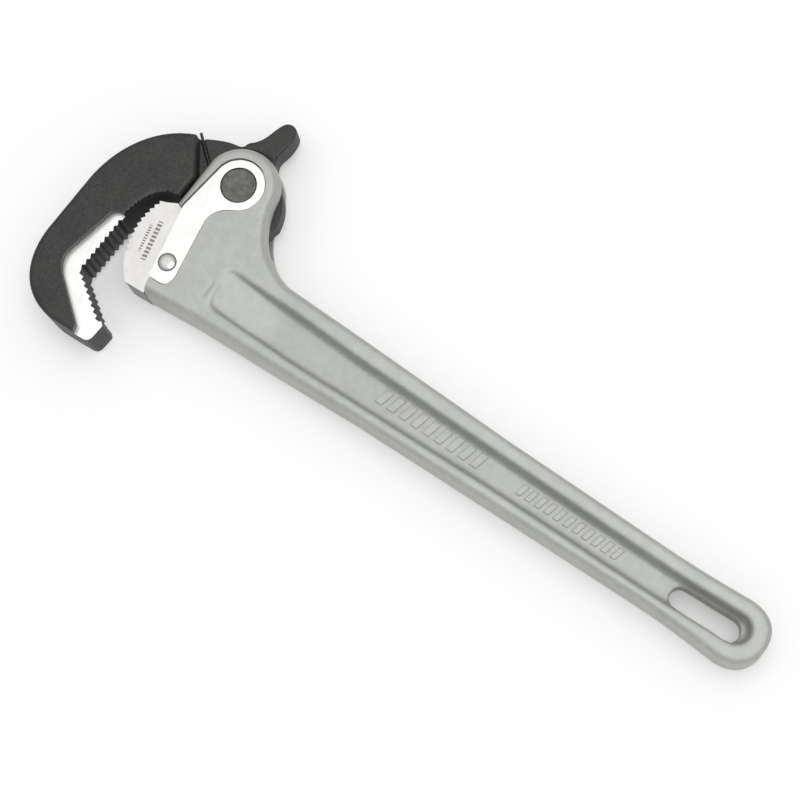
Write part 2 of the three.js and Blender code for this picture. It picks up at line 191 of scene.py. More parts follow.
# %% Lofted blocks
THROUGH = 20  # half height of a cutter that passes right through


def placed(name, data):
    """A new object in the scene."""
    obj = bpy.data.objects.new(name, data)
    bpy.context.scene.collection.objects.link(obj)
    return obj


def mesh_object(name, bm):
    mesh = bpy.data.meshes.new(name)
    bm.to_mesh(mesh)
    bm.free()
    return placed(name, mesh)


def new_object(name, bm):
    bmesh.ops.remove_doubles(bm, verts=bm.verts, dist=1e-5)
    bmesh.ops.recalc_face_normals(bm, faces=bm.faces)
    return mesh_object(name, bm)


def loft(name, levels):
    """A closed body through rings of equal count; each level is (points, height)."""
    bm = bmesh.new()
    rings = [[bm.verts.new((x, y, z)) for x, y in points] for points, z in levels]
    count = len(rings[0])
    for low, high in zip(rings, rings[1:]):
        for i in range(count):
            j = (i + 1) % count
            bm.faces.new((low[i], low[j], high[j], high[i]))
    for ring in (rings[0], rings[-1]):
        bm.faces.new(ring)
    bmesh.ops.triangulate(bm, faces=[f for f in bm.faces if len(f.verts) > 4])
    return new_object(name, bm)


def block(name, points, bottom, top):
    return loft(name, [(points, bottom), (points, top)])


def quarter(steps):
    """Even steps of a quarter turn, each as (1 - sine, 1 - cosine): how far in and how far down."""
    angles = [math.pi / 2 * i / steps for i in range(steps + 1)]
    return [(1 - math.sin(a), 1 - math.cos(a)) for a in angles]


def pillow(name, points, bottom, top, roll, steps):
    """A block whose edges are rounded by a radius of `roll`."""
    levels = [(grown(points, -roll * side), bottom + roll * rise) for side, rise in quarter(steps)]
    mirrored = [(ring, bottom + top - z) for ring, z in reversed(levels)]
    return loft(name, levels + mirrored)


print("lofts ready")

# %% [markdown]
# ## The workshop's machines
# Three operations make most of a tool like this. *Milling* takes one body out of another: a
# Boolean modifier with a collection of cutters does all the cuts of one set-up at once. *Fusing*
# melts overlapping bodies into one skin, as molten metal does: a voxel Remesh modifier. *Tumbling*
# takes the hard corners off: a Smooth modifier. Each result is baked to a plain mesh.

# %% Milling, fusing and tumbling
CREASE = 32  # degrees; a sharper edge stays crisp


def baked(obj):
    """Applies the object's modifiers and leaves a plain mesh."""
    graph = bpy.context.evaluated_depsgraph_get()
    mesh = bpy.data.meshes.new_from_object(obj.evaluated_get(graph))
    old = obj.data
    obj.modifiers.clear()
    obj.data = mesh
    bpy.data.meshes.remove(old)
    return obj


def discard(objects):
    for obj in objects:
        mesh = obj.data
        bpy.data.objects.remove(obj)
        if mesh.users == 0:
            bpy.data.meshes.remove(mesh)


def milled(work, cutters):
    """Takes all the cutters out of the work in one set-up, then throws them away."""
    tray = bpy.data.collections.new("cutters")
    bpy.context.scene.collection.children.link(tray)
    for cutter in cutters:
        tray.objects.link(cutter)
    cut = work.modifiers.new("mill", "BOOLEAN")
    cut.solver = "EXACT"
    cut.operation = "DIFFERENCE"
    cut.operand_type = "COLLECTION"
    cut.collection = tray
    baked(work)
    discard(cutters)
    bpy.data.collections.remove(tray)
    return work


def joined(name, objects):
    """One object that holds copies of all these meshes, still as separate shells."""
    bm = bmesh.new()
    for obj in objects:
        bm.from_mesh(obj.data)
    discard(objects)
    return mesh_object(name, bm)


def fused(obj, grain, tumbling):
    """Melts the shells into one skin of `grain` millimetre faces, then wears its corners down."""
    remesh = obj.modifiers.new("fuse", "REMESH")
    remesh.mode = "VOXEL"
    remesh.voxel_size = grain
    soften = obj.modifiers.new("tumble", "SMOOTH")
    soften.factor = 0.5
    soften.iterations = tumbling
    return baked(obj)


def both_faces(name, maker):
    """The same body above and below the middle plane."""
    upper = maker(name + "_up")
    mesh = upper.data.copy()
    mesh.transform(Matrix.Scale(-1, 4, (0, 0, 1)))
    mesh.flip_normals()
    return [upper, placed(name + "_down", mesh)]


def disc(name, radius, bottom, top, centre=(0, 0), sides=96):
    return block(name, circle(radius, centre, sides), bottom, top)


def onto_bench(obj):
    """Turns millimetres about the middle plane into metres on the bench, and keeps sharp edges crisp."""
    obj.data.transform(Matrix.Translation((0, 0, CAST_HALF * MM)) @ Matrix.Scale(MM, 4))
    obj.data.shade_smooth()
    obj.data.set_sharp_from_angle(angle=math.radians(CREASE))
    obj.data.update()
    return obj


def flat_faces_first(obj):
    """Lets the large flat faces set the shading, so that a ground face doesn't look pillowed."""
    weighted = obj.modifiers.new("ground_flat", "WEIGHTED_NORMAL")
    weighted.mode = "FACE_AREA"
    weighted.weight = 100
    weighted.keep_sharp = True
    return baked(obj)


def report(obj):
    obj.data.calc_loop_triangles()
    print(f"{obj.name}: {len(obj.data.loop_triangles)} triangles")


print("machines ready")

# %% [markdown]
# ## The toothed wall, as a rule
# Both jaws bite with saw teeth of one pattern: a long back, a short undercut front, all of one
# depth. A broach cuts them, so here a Geometry Nodes tree makes the broach. It takes a bare path
# and turns it into a zigzag strip: every second point is pushed into the metal by the tooth depth
# and slid along by the lean. The strip then grows towards the air and gets its height. One tree
# serves the two straight rows of the hook and the curved row of the heel jaw.

# %% A small builder for node trees
def node(tree, kind, links=(), **settings):
    """Adds a node, sets its properties and plugs `links`: (input name or number, value or socket)."""
    made = tree.nodes.new(kind)
    for key, value in settings.items():
        setattr(made, key, value)
    for key, value in links:
        if isinstance(value, bpy.types.NodeSocket):
            tree.links.new(value, made.inputs[key])
        else:
            made.inputs[key].default_value = value
    return made


def step(tree, kind, *links, **settings):
    """Adds a Geometry Nodes step and gives its first result."""
    return node(tree, "GeometryNode" + kind, links, **settings).outputs[0]


def number(tree, operation, *values):
    return node(tree, "ShaderNodeMath", enumerate(values), operation=operation).outputs[0]


def vector(tree, operation, *links):
    return node(tree, "ShaderNodeVectorMath", links, operation=operation).outputs[0]


def tree_of(name, **sizes):
    """A Geometry Nodes tree with these named inputs: the tree, its input sockets and its ending."""
    tree = bpy.data.node_groups.new(name, "GeometryNodeTree")
    for label, kind in {"Geometry": "Geometry", **sizes, "Material": "Material"}.items():
        tree.interface.new_socket(label.replace("_", " "), in_out="INPUT", socket_type="NodeSocket" + kind)
    tree.interface.new_socket("Geometry", in_out="OUTPUT", socket_type="NodeSocketGeometry")
    get = tree.nodes.new("NodeGroupInput").outputs
    sink = tree.nodes.new("NodeGroupOutput")

    def ended(geometry):
        real = step(tree, "RealizeInstances", ("Geometry", geometry))
        coated = step(tree, "SetMaterial", ("Geometry", real), ("Material", get["Material"]))
        tree.links.new(coated, sink.inputs[0])
        return tree

    return tree, get, ended


def run_tree(obj, tree, values):
    """Runs a tree on an object with its inputs set by socket identifier, and keeps the plain mesh."""
    modifier = obj.modifiers.new(tree.name, "NODES")
    modifier.node_group = tree
    for item in tree.interface.items_tree:
        if item.item_type == "SOCKET" and item.in_out == "INPUT" and item.name in values:
            modifier[item.identifier] = values[item.name]
    return baked(obj)


def path_object(name, points):
    """A bare polyline as a mesh of edges, for trees that follow a path."""
    mesh = bpy.data.meshes.new(name)
    edges = [(i, i + 1) for i in range(len(points) - 1)]
    mesh.from_pydata([(*p, 0)[:3] for p in points], edges, [])
    return placed(name, mesh)


print("tree builder ready")

# %% The broach tree
def broach_tree():
    tree, get, ended = tree_of(
        "broach", Teeth="Int", Depth="Float", Lean="Float", Reach="Float", Half_Width="Float"
    )
    bare = step(tree, "MeshToCurve", ("Mesh", get["Geometry"]))
    count = number(tree, "MULTIPLY_ADD", get["Teeth"], 2.0, 1.0)
    even = step(tree, "ResampleCurve", ("Curve", bare), ("Count", count))
    tangent = step(tree, "InputTangent")
    air = vector(tree, "CROSS_PRODUCT", (0, (0, 0, 1)), (1, tangent))
    kept = step(tree, "StoreNamedAttribute", ("Geometry", even), ("Name", "air"), ("Value", air),
                data_type="FLOAT_VECTOR", domain="POINT")
    # Every second point is a root: it slides along the path and sinks into the metal.
    root = number(tree, "MODULO", step(tree, "InputIndex"), 2.0)
    pitch = number(tree, "DIVIDE", step(tree, "CurveLength", ("Curve", bare)), get["Teeth"])
    slide = number(tree, "MULTIPLY", pitch, number(tree, "SUBTRACT", get["Lean"], 0.5))
    along = vector(tree, "SCALE", (0, tangent), ("Scale", slide))
    deep = vector(tree, "SCALE", (0, air), ("Scale", get["Depth"]))
    offset = vector(tree, "SUBTRACT", (0, along), (1, deep))
    zigzag = step(tree, "SetPosition", ("Geometry", kept), ("Selection", root), ("Offset", offset))
    # The zigzag line grows towards the air, and the strip then grows upwards.
    named = step(tree, "InputNamedAttribute", ("Name", "air"), data_type="FLOAT_VECTOR")
    line = step(tree, "CurveToMesh", ("Curve", zigzag))
    strip = step(tree, "ExtrudeMesh", ("Mesh", line), ("Offset", named), ("Offset Scale", get["Reach"]),
                 mode="EDGES")
    height = number(tree, "MULTIPLY", get["Half Width"], 2.0)
    upwards = node(tree, "ShaderNodeCombineXYZ", [("Z", height)]).outputs[0]
    walls = step(tree, "ExtrudeMesh", ("Mesh", strip), ("Offset", upwards), ("Individual", False),
                 mode="FACES")
    both = node(tree, "GeometryNodeJoinGeometry")
    for part in (walls, step(tree, "FlipFaces", ("Mesh", strip))):
        tree.links.new(part, both.inputs[0])
    sewn = step(tree, "MergeByDistance", ("Geometry", both.outputs[0]), ("Distance", 0.001))
    down = number(tree, "MULTIPLY", get["Half Width"], -1.0)
    drop = node(tree, "ShaderNodeCombineXYZ", [("Z", down)]).outputs[0]
    return ended(step(tree, "Transform", ("Geometry", sewn), ("Translation", drop)))


BROACH = broach_tree()
TOOTH_DEPTH = 1.25
TOOTH_LEAN = 0.34


def broach(name, path, teeth, lean=TOOTH_LEAN, reach=3.0):
    """A cutter for one row of teeth along a path whose air side is on the left."""
    values = {"Teeth": teeth, "Depth": TOOTH_DEPTH, "Lean": lean, "Reach": reach, "Half Width": CAST_HALF + 4}
    cutter = run_tree(path_object(name, path), BROACH, values)
    bm = bmesh.new()
    bm.from_mesh(cutter.data)
    bmesh.ops.recalc_face_normals(bm, faces=bm.faces)
    bm.to_mesh(cutter.data)
    bm.free()
    return cutter


print("broach tree:", len(BROACH.nodes), "nodes")

# %% [markdown]
# ## The casting
# The handle is cast in aluminium in a sand mould: an I-section grip with a long pocket in each
# face, a head with two ears, and a slot in the end to hang it by. A mould leaves no sharp edge, so
# the raw casting is lofted with rolled shoulders, its pockets are taken out, and the whole is fused
# and tumbled. Only then do the machined faces go in, with hard edges.

# %% Outline of the raw casting
GRIP_Y = -42.6


def casting_outline():
    bulb = GRIP_END - 15.5
    return (
        Outline(-18.8, -21)
        .arc((0, 0), 18.3, 166, 6, 40)
        .curve((20.6, -8.5), (27, -21.5), (45.6, -25.4), 24)
        .line((100, GRIP_Y + 15.4), (165, GRIP_Y + 13.5), (246, GRIP_Y + 12.5))
        .quad((265, GRIP_Y + 12.4), (bulb, GRIP_Y + 13.7))
        .curve((GRIP_END - 5, GRIP_Y + 13.7), (GRIP_END, GRIP_Y + 8), (GRIP_END, GRIP_Y), 20)
        .curve((GRIP_END, GRIP_Y - 8), (GRIP_END - 5, GRIP_Y - 14.2), (bulb, GRIP_Y - 14.2), 20)
        .quad((265, GRIP_Y - 12.4), (246, GRIP_Y - 12.4))
        .line((155, GRIP_Y - 13.7), (103, GRIP_Y - 14.6), (53, GRIP_Y - 17), (19, GRIP_Y - 18.2))
        .line((-19.6, GRIP_Y - 21.2), (-19.4, -45))
        .points
    )


CAST_SPACING = 1.2
casting_edge = spaced(casting_outline(), CAST_SPACING)
HEAD_ROLL = (3.6, 6.4)  # how far the edge rounds in at the head, and from what depth
GRIP_ROLL = (2.6, 3.2)
print("casting outline:", len(casting_edge), "points")

# %% Outline of the grip pocket and the hang slot
POCKET_FLOOR = 4.5
POCKET_DRAFT = 2.2
POCKET_FILLET = 6.2
POCKET_ROLL = 2.0


def pocket_outline():
    end = (GRIP_END - 14.6, GRIP_Y)
    return (
        Outline(20.2, -37.5)
        .quad((19.6, -33.9), (25, -33.8))
        .line((55, -33.9), (90, -35.4), (165, GRIP_Y + 6.0), (GRIP_END - 50, GRIP_Y + 5.2))
        .arc(end, 6.2, 90, -90)
        .line((GRIP_END - 50, GRIP_Y - 7.4), (165, GRIP_Y - 7.7), (66, -52.6), (27.6, -52.0))
        .quad((21.9, -52.5), (21.4, -47.2))
        .points
    )


def hang_slot_outline():
    y = GRIP_Y - 1.4
    return Outline(282.9, y - 5.3).arc((282.9, y), 5.3, -90, 90).arc((259.5, y), 4.5, 90, 270).points


print("pocket outline:", len(pocket_outline()), "points")

# %% Cutters for the pockets, with a floor that ramps up at the head
RAMP_START = 17
RAMP_END = 52
RAMP_BEND = 1.4


def pocket_cutter(name):
    """A filleted floor, a wall, and a rounded mouth that flares out to the face."""
    edge = spaced(pocket_outline(), CAST_SPACING)
    fillet = [
        (grown(edge, -POCKET_DRAFT * side), POCKET_FLOOR + POCKET_FILLET * rise)
        for side, rise in quarter(8)[:-1]
    ]
    mouth = [(grown(edge, POCKET_ROLL * out), CAST_HALF - POCKET_ROLL * down) for down, out in quarter(5)]
    above = (grown(edge, POCKET_ROLL), CAST_HALF + 3)
    return milled(loft(name, [*fillet, *mouth, above]), [ramp(name + "_ramp")])


def ramp(name):
    """The metal left standing under the head: a floor that rises from the web to the face, ever steeper."""
    top = CAST_HALF + 0.6
    profile = [(RAMP_START - 6, -1), (RAMP_END + 2, -1)]
    for t in np.linspace(0, 1, 17):
        rise = (top - POCKET_FLOOR) * t**RAMP_BEND
        profile.append((RAMP_END + (RAMP_START - RAMP_END) * t, POCKET_FLOOR + rise))
    profile.append((RAMP_START - 6, top))
    wedge = block(name, profile, 15, 75)
    wedge.data.transform(Matrix.Rotation(math.radians(90), 4, "X"))
    return wedge


def roll_at(x, depth):
    """How far the edge rounds in at a depth below the face: broad at the head, tighter on the grip."""
    share = min(1, max(0, (x - 45) / 45))
    inset, drop = (head + (grip - head) * share for head, grip in zip(HEAD_ROLL, GRIP_ROLL))
    if depth >= drop:
        return 0
    return inset * (1 - math.sqrt(1 - (1 - depth / drop) ** 2))


def rolled_casting():
    edge = np.array(casting_edge)
    inward = np.array(grown(casting_edge, -1)) - edge
    levels = []
    for share, _ in quarter(12):
        depth = HEAD_ROLL[1] * share
        ring = edge + inward * np.array([roll_at(x, depth) for x in edge[:, 0]])[:, None]
        levels.append(([tuple(p) for p in ring], CAST_HALF - depth))
    return loft("casting_body", [(ring, -z) for ring, z in reversed(levels)] + levels)


def raw_casting():
    body = milled(rolled_casting(), both_faces("pocket", pocket_cutter))
    return milled(body, [block("hang_slot", spaced(hang_slot_outline(), 1.0), -THROUGH, THROUGH)])


casting = raw_casting()
report(casting)

# %% [markdown]
# ## Parting line and fusing
# The two halves of the mould meet at the middle plane and leave a faint ridge there, the parting
# line, which a linisher takes down but never quite removes. A thin band just proud of the outline
# stands for it, and a shallow tool mark crosses the head where the pocket's ramp begins. Fusing and
# tumbling then melt everything into one skin.

# %% Fuse the casting and tumble it
CAST_GRAIN = 0.72
PARTING_PROUD = 0.3
PARTING_HALF = 0.55


def parting_band():
    proud = grown(casting_edge, PARTING_PROUD)
    ring = [edge if edge[0] > GRIP_END - 12 else out for edge, out in zip(casting_edge, proud)]
    band = block("parting_band", ring, -PARTING_HALF, PARTING_HALF)
    slot = grown(spaced(hang_slot_outline(), 1.0), CLEARANCE)
    return milled(band, [block("band_slot", slot, -THROUGH, THROUGH)])


def tool_mark(name):
    corners = [(16.2, -53.6), (17.7, -53.6), (17.9, -41.5), (16.4, -41.5)]
    return block(name, corners, CAST_HALF - 0.7, CAST_HALF + 2)


casting = milled(casting, both_faces("tool_mark", tool_mark))
casting = fused(joined("handle_casting", [casting, parting_band()]), CAST_GRAIN, 7)
report(casting)

# %% [markdown]
# ## Cast marks
# A casting of this class carries raised marks in its pockets. Here they are two plain rows of
# slanted grip ribs, which is what repeats along a line, so a tree sets them out: one small rib,
# copied at even steps along a bare path. The ribs keep their own mesh, because they are finer than
# the skin of the casting, and their feet stand a millimetre inside the metal.

# %% The rib tree
def rib_tree():
    tree, get, ended = tree_of("cast_ribs", Path="Object", Ribs="Int")
    path = node(tree, "GeometryNodeObjectInfo", [("Object", get["Path"])]).outputs["Geometry"]
    curve = step(tree, "MeshToCurve", ("Mesh", path))
    marks = node(tree, "GeometryNodeCurveToPoints", [("Curve", curve), ("Count", get["Ribs"])]).outputs
    turned = node(tree, "FunctionNodeAlignRotationToVector", [("Vector", marks["Tangent"])],
                  axis="X", pivot_axis="Z").outputs[0]
    return ended(step(tree, "InstanceOnPoints", ("Points", marks[0]), ("Instance", get["Geometry"]),
                      ("Rotation", turned)))


RIBS = rib_tree()
RIB_PROUD = 0.75


def rib_row(name, start, end, ribs, width, tall, slant):
    """A row of slanted ribs on the pocket's floor, from start to end."""
    half, lean = width / 2, slant / 2
    foot = [(-half - lean, -tall / 2), (half - lean, -tall / 2)]
    outline = foot + [(-x, -y) for x, y in foot]
    rib = pillow(name, outline, POCKET_FLOOR - 1.5, POCKET_FLOOR + RIB_PROUD, 0.5, 4)
    path = path_object(name + "_path", [start, end])
    run_tree(rib, RIBS, {"Path": path, "Ribs": ribs})
    discard([path])
    return rib


def marks_on_one_face(name):
    large = rib_row(name + "_large", (108, -42.0), (157.5, -42.3), 9, 3.6, 7.4, 2.0)
    small = rib_row(name + "_small", (180, -42.6), (228, -42.9), 11, 2.7, 5.6, 1.5)
    return joined(name, [large, small])


cast_marks = joined("cast_marks", both_faces("marks", marks_on_one_face))
report(cast_marks)

# %% [markdown]
# ## Machining the casting
# The cutters go in the order the real casting meets them: the slot between the ears, the seat for
# the heel jaw, the recesses for the side plates and the bore for the pin. Each cutter takes a
# clearance more than the piece that goes in, so that the piece can slide in or turn.

# %% Machine the casting
SLOT_HALF = 5.9
HUB_LOBE = 23.6
HEEL_SEAT = [
    (-22.9, -23.4), (-18.8, -21.2), (-15.0, -22.4), (-5.2, -28.5), (-0.9, -50.5), (-8.4, -55.4), (-6.9, -62.9)
]
PLATE_GAP = 0.6
BOSS_RADIUS = 11.8


def plate_outline(grow):
    return (
        Outline(-15.0 - grow, -20.6)
        .arc((0, 0), BOSS_RADIUS + grow, 171, -62, 40)
        .quad((-2.6 + grow, -14.0 - grow), (-2.9 + grow, -21.5))
        .line((0.9 + grow, -46.5))
        .quad((2.6 + grow, -55.6 - grow), (-3.4, -55.6 - grow), 10)
        .line((-7.4, -55.6 - grow))
        .quad((-9.4 - grow, -55.6 - grow), (-9.2 - grow, -53.4))
        .line((-14.6 - grow, -23.6))
        .quad((-15.2 - grow, -22.0), (-15.0 - grow, -20.6))
        .points
    )


def sideways(points, distance):
    """An open path moved to its left."""
    p = [Vector(q) for q in points]
    normals = [Vector((-(b - a).y, (b - a).x)).normalized() for a, b in zip(p, p[1:])]
    out = [p[0] + normals[0] * distance]
    for q, n, m in zip(p[1:-1], normals, normals[1:]):
        bisector = (n + m).normalized()
        out.append(q + bisector * (distance / max(bisector.dot(n), 0.4)))
    out.append(p[-1] + normals[-1] * distance)
    return [tuple(q) for q in out]


heel_room = [*sideways([(-31.9, -28.2), *HEEL_SEAT, (-5.4, -70)], CLEARANCE), (-45, -75), (-45, -30)]
hub_room = Outline(-25, 30).line((-25, -21.4)).arc((0, 0), HUB_LOBE + 1.6, 235, 315, 30)
hub_room = hub_room.line((30, -18.6), (36, -8), (30, 30)).points
recess_edge = ring_of(plate_outline(PLATE_GAP))
casting = milled(
    casting,
    [
        block("hub_room", hub_room, -SLOT_HALF, SLOT_HALF),
        block("heel_room", heel_room, -THROUGH, THROUGH),
        *both_faces("recess", lambda name: block(name, recess_edge, PLATE_BASE - CLEARANCE, THROUGH)),
        disc("bore", PIN_RADIUS + CLEARANCE, -THROUGH, THROUGH),
    ],
)
report(casting)

# %% [markdown]
# ## The hook jaw
# The hook is drop forged in steel, so its outline is full and its edges are rounder than a milled
# part's. The thinner plate of hub, neck and thumb tab is forged with it. After forging, the mouth
# is milled to width on both sides, and the two rows of teeth are broached. The making below goes in
# the same order: body, plate and thumb pad are fused and tumbled, and then the cutters go in.

# %% Outlines of the forging
def forged_outline():
    return (
        Outline(-18.7, -7.2)
        .line((-29.9, 9.3))
        .curve((-45.5, 3), (-56.8, -12.5), (-58.6, -33), 24)
        .line((-60, -61))
        .curve((-60.9, -73), (-56.9, -93.2), (-34, -95.4), 24)
        .line((-17, -94.8))
        .quad((-14, -94.6), (-13.7, -91.6))
        .line((-12.8, -83), (-33.2, -68), (-33.4, -43), (-35.2, -41.2))
        .curve((-33.8, -31), (-30, -18.2), (-19.2, -18.7), 18)
        .points
    )


def round_the_tab(outline):
    """Adds the thumb tab's edge, from its root on the left to its root on the right."""
    return (
        outline.curve((-7.6, 21.8), (-5.4, 25), (-4.4, 29))
        .curve((-3.6, 31.6), (-3, 34), (-1.8, 35.8))
        .curve((-0.4, 38.2), (3.8, 38.4), (5.2, 35.6))
        .curve((6.6, 32), (6, 27.4), (4.8, 23.2))
    )


def hub_outline():
    lobe = lambda away, angle: on_circle(HUB_LOBE - away, angle)
    hub = 17.4
    left = (
        Outline(-24.7, -7.2)
        .line((-35.9, 7.3), (-30.7, 9.6))
        .quad((-20, 16.2), (-13.2, 16.6))
        .quad((-10.8, 17.4), (-10.2, 20))
    )
    return (
        round_the_tab(left)
        .quad((4.2, 19.8), on_circle(hub, 64))
        .arc((0, 0), hub, 64, 36, 8)
        .quad(lobe(1.6, 15), lobe(0, -12))
        .arc((0, 0), HUB_LOBE, -12, -28, 5)
        .quad(lobe(0.8, -40), on_circle(hub, -54))
        .arc((0, 0), hub, -54, -125, 18)
        .line((-19.2, -17.4))
        .points
    )


def thumb_pad_outline():
    """The thumb tab beyond the ears, which swells a little as it leaves the neck."""
    left = Outline(*on_circle(PAD_FOOT, 121)).quad((-11.6, 18.2), (-9.9, 20.4))
    right = round_the_tab(left).quad((4.4, 21.2), on_circle(PAD_FOOT, 76))
    return right.arc((0, 0), PAD_FOOT, 76, 121, 10).points


HUB_HALF = 5.5
PAD_FOOT = 19.3  # the pad starts just outside the ears
PAD_PROUD = 0.9
print("forging outlines:", len(forged_outline()), "and", len(hub_outline()), "points")

# %% Forge the hook: body, hub plate and thumb pad melt into one
FORGE_GRAIN = 0.56
FORGE_SPACING = 0.9
# outline, half thickness, edge radius and the steps round that edge
FORGED = {
    "hook_body": (forged_outline(), CAST_HALF, 1.8, 5),
    "hook_hub": (hub_outline(), HUB_HALF, 0.6, 3),
    "thumb_pad": (thumb_pad_outline(), HUB_HALF + PAD_PROUD, 0.8, 3),
}
lumps = [
    pillow(name, spaced(outline, FORGE_SPACING), -half, half, roll, steps)
    for name, (outline, half, roll, steps) in FORGED.items()
]
forging = fused(joined("hook_forging", lumps), FORGE_GRAIN, 6)
report(forging)

# %% [markdown]
# ## The torsion spring
# The spring is a round wire: a tang in the pin, two and a half turns inside the hub, and a straight
# leg that leans on the hook's shoulder. A wire that follows a path is one Curve to Mesh node, so a
# small tree draws it and caps its ends.

# %% The wire tree
def wire_tree():
    tree, get, ended = tree_of("drawn_wire", Wire_Radius="Float", Sides="Int")
    curve = step(tree, "MeshToCurve", ("Mesh", get["Geometry"]))
    section = step(tree, "CurvePrimitiveCircle", ("Resolution", get["Sides"]), ("Radius", get["Wire Radius"]))
    return ended(step(tree, "CurveToMesh", ("Curve", curve), ("Profile Curve", section), ("Fill Caps", True)))


WIRE = wire_tree()
WIRE_RADIUS = 0.7
COIL_RADIUS = 10.8
COIL_TURNS = 2.5
COIL_PITCH = 1.6
COIL_TOP = HUB_HALF - CLEARANCE - WIRE_RADIUS
COIL_LOW = COIL_TOP - COIL_TURNS * COIL_PITCH
LEG_END = Vector((-31.7, 12.2))


def spring_route():
    """The wire's centre line: tang, coil, and a leg that leaves the coil at a tangent."""
    reach = LEG_END.length
    heading = math.atan2(-LEG_END.y, -LEG_END.x) - math.asin(COIL_RADIUS / reach)
    root = LEG_END + Vector((math.cos(heading), math.sin(heading))) * math.sqrt(reach**2 - COIL_RADIUS**2)
    leave = math.atan2(root.y, root.x)
    begin = leave + COIL_TURNS * 2 * math.pi
    tang = PIN_RADIUS - 1.5
    route = [(tang * math.cos(begin), tang * math.sin(begin), COIL_LOW)]
    steps = round(COIL_TURNS * 64)
    for i in range(steps + 1):
        turn = begin - (begin - leave) * i / steps
        rise = COIL_TURNS * COIL_PITCH * i / steps
        route.append((COIL_RADIUS * math.cos(turn), COIL_RADIUS * math.sin(turn), COIL_LOW + rise))
    for i in range(1, 25):
        route.append((*root.lerp(LEG_END, i / 24), COIL_TOP))
    return route, root, heading


route, leg_root, leg_heading = spring_route()
spring = run_tree(path_object("torsion_spring_wire", route), WIRE, {"Wire Radius": WIRE_RADIUS, "Sides": 20})
report(spring)

# %% [markdown]
# ## Cutting the forging
# The mouth is milled to width on both sides, its two rows of teeth are broached, and the hub is
# bored. The hub also gets a round pocket for the spring's coil and a groove for its leg, so the
# spring's route above gives the places of those two cutters.

# %% Room for the spring in the hub
SPRING_POCKET = 12.4
groove_side = Vector((-math.sin(leg_heading), math.cos(leg_heading))) * (WIRE_RADIUS + CLEARANCE + 0.1)
groove = [LEG_END - groove_side, leg_root - groove_side, leg_root + groove_side, LEG_END + groove_side]
pocket_floor = COIL_LOW - WIRE_RADIUS - CLEARANCE
spring_room = [
    disc("spring_pocket", SPRING_POCKET, pocket_floor, THROUGH),
    block("leg_groove", groove, COIL_TOP - WIRE_RADIUS - CLEARANCE, 9.5),
]
print("spring pocket floor at", round(pocket_floor, 2))

# %% Mill the mouth and broach the teeth
MILL_DEPTH = 3.6
TOOTH_TOP = (-35.2, -41.2)
TOOTH_VERTEX = (-36.7, -70.0)
TOOTH_TIP = (-15.4, -84.6)


def mill_outline():
    return (
        Outline(-22, -38)
        .line((-35.4, -39.2))
        .curve((-38, -38.4), (-40.7, -40.4), (-40.9, -43.4), 10)
        .line((-45.8, -64.5))
        .curve((-46.8, -69.5), (-45.4, -73), (-41.7, -76.2), 10)
        .line((-22.5, -91.5), (-20, -100), (0, -100), (0, -40))
        .points
    )


mouth = [*sideways([TOOTH_TOP, TOOTH_VERTEX, TOOTH_TIP], 1.0), (-9, -89), (0, -80), (0, -41.2)]
forging = milled(
    forging,
    [
        block("mouth", mouth, -THROUGH, THROUGH),
        broach("upper_row", [TOOTH_TOP, TOOTH_VERTEX], 9),
        broach("lower_row", [TOOTH_VERTEX, TOOTH_TIP], 8),
        *both_faces("mouth_side", lambda name: block(name, mill_outline(), CAST_HALF - MILL_DEPTH, THROUGH)),
        disc("hub_bore", PIN_RADIUS + CLEARANCE, -THROUGH, THROUGH),
        *spring_room,
    ],
)
report(forging)

# %% [markdown]
# ## The heel jaw
# The heel jaw is a small block of ground tool steel pinned into the head. Its working edge is an
# arc about a point behind it, so that a pipe of any size meets it square. Its shape follows a rule,
# an arc with teeth to a given angle and a smooth nose after it, and the broach tree cuts that rule
# along a curved path as easily as along a straight one.

# %% Grind and broach the heel jaw
HEEL_CENTRE = (6.3, -37.2)
HEEL_RADIUS = 35
HEEL_TEETH = 10
TEETH_FROM, TEETH_TO, NOSE_END = 159, 206, 228.5


def chamfered(obj, width, segments):
    """Breaks every edge that turns more than 35 degrees."""
    bevel = obj.modifiers.new("broken_edges", "BEVEL")
    bevel.width = width
    bevel.segments = segments
    bevel.limit_method = "ANGLE"
    bevel.angle_limit = math.radians(35)
    return baked(obj)


arc = arc_points(HEEL_CENTRE, HEEL_RADIUS, TEETH_FROM, NOSE_END, 40)
heel = block("heel_block", [*arc, *reversed(HEEL_SEAT)], -HEEL_HALF, HEEL_HALF)
tooth_path = arc_points(HEEL_CENTRE, HEEL_RADIUS, TEETH_TO, TEETH_FROM, 80)
heel = milled(
    heel,
    [
        broach("heel_row", tooth_path, HEEL_TEETH, 1 - TOOTH_LEAN),
        disc("heel_hole", RIVET_HOLE, -THROUGH, THROUGH, RIVET_CENTRE, 48),
    ],
)
heel = chamfered(heel, 0.18, 2)
report(heel)

# %% [markdown]
# ## Side plates, pin and rivet
# Two blanked and ground plates tie the heel jaw to the pivot. Blanking leaves a square edge with
# the burr taken off, which is a Bevel. The pin and the rivet are turned, so each is a profile spun
# about its axis.

# %% Blank the side plates
def side_plate(name, upper):
    plate = block(name, ring_of(plate_outline(0)), PLATE_BASE, PLATE_TOP)
    holes = [
        disc("plate_bore", PIN_RADIUS + CLEARANCE, PLATE_BASE - 2, PLATE_TOP + 2),
        disc("plate_hole", RIVET_HOLE, PLATE_BASE - 2, PLATE_TOP + 2, RIVET_CENTRE, 48),
    ]
    plate = chamfered(milled(plate, holes), 0.28, 3)
    if not upper:
        plate.data.transform(Matrix.Scale(-1, 4, (0, 0, 1)))
        plate.data.flip_normals()
    report(plate)
    return plate


plate_top = side_plate("side_plate_upper", True)
plate_bottom = side_plate("side_plate_lower", False)

